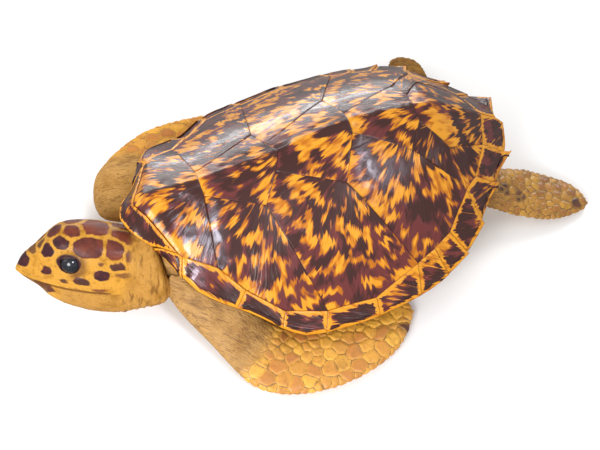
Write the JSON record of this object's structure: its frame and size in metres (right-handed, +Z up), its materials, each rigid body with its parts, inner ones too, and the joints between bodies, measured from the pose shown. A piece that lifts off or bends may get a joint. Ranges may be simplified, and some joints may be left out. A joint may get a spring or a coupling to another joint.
{
  "type": "mounted hawksbill sea turtle specimen",
  "caption": "Preserved hawksbill sea turtle resting on its belly, with a domed tortoiseshell of overlapping scutes, a beaked scaly head, glass eyes and flat spread flippers.",
  "frame": {"origin": "centre of the belly plate's flat underside, on the surface that the turtle rests on, under the middle of the shell", "axes": "+Z up, +Y from the head towards the tail, +X to the turtle's own left"},
  "size_m": [0.394, 0.6442, 0.1711],
  "materials": {
    "shell_scutes": "varnished tortoiseshell, amber with dark flame streaks",
    "rim_scutes": "varnished tortoiseshell with amber borders",
    "belly_horn": "pale varnished horn",
    "head_skin": "varnished skin, brown scales with yellow borders",
    "skin": "dried wrinkled skin, varnished",
    "flipper_skin": "scaly varnished skin",
    "eye_glass": "polished black glass"
  },
  "bodies": {
    "root": {"body": "skin", "plastron": "belly_horn", "nuchal_scute": "rim_scutes", "vertebral_scute_1": "shell_scutes", "vertebral_scute_2": "shell_scutes", "vertebral_scute_3": "shell_scutes", "vertebral_scute_4": "shell_scutes", "vertebral_scute_5": "shell_scutes", "costal_scute_left_1": "shell_scutes", "costal_scute_left_2": "shell_scutes", "costal_scute_left_3": "shell_scutes", "costal_scute_left_4": "shell_scutes", "costal_scute_right_1": "shell_scutes", "costal_scute_right_2": "shell_scutes", "costal_scute_right_3": "shell_scutes", "costal_scute_right_4": "shell_scutes", "marginal_scute_left_1": "rim_scutes", "marginal_scute_left_2": "rim_scutes", "marginal_scute_left_3": "rim_scutes", "marginal_scute_left_4": "rim_scutes", "marginal_scute_left_5": "rim_scutes", "marginal_scute_left_6": "rim_scutes", "marginal_scute_left_7": "rim_scutes", "marginal_scute_left_8": "rim_scutes", "marginal_scute_left_9": "rim_scutes", "marginal_scute_left_10": "rim_scutes", "marginal_scute_left_11": "rim_scutes", "supracaudal_scute_left": "rim_scutes", "marginal_scute_right_1": "rim_scutes", "marginal_scute_right_2": "rim_scutes", "marginal_scute_right_3": "rim_scutes", "marginal_scute_right_4": "rim_scutes", "marginal_scute_right_5": "rim_scutes", "marginal_scute_right_6": "rim_scutes", "marginal_scute_right_7": "rim_scutes", "marginal_scute_right_8": "rim_scutes", "marginal_scute_right_9": "rim_scutes", "marginal_scute_right_10": "rim_scutes", "marginal_scute_right_11": "rim_scutes", "supracaudal_scute_right": "rim_scutes", "head": "head_skin", "eye_left": "eye_glass", "eye_right": "eye_glass", "neck": "skin", "front_flipper_left": "flipper_skin", "front_flipper_right": "flipper_skin", "hind_flipper_left": "flipper_skin", "hind_flipper_right": "flipper_skin", "tail": "skin"}
  },
  "joints": []
}
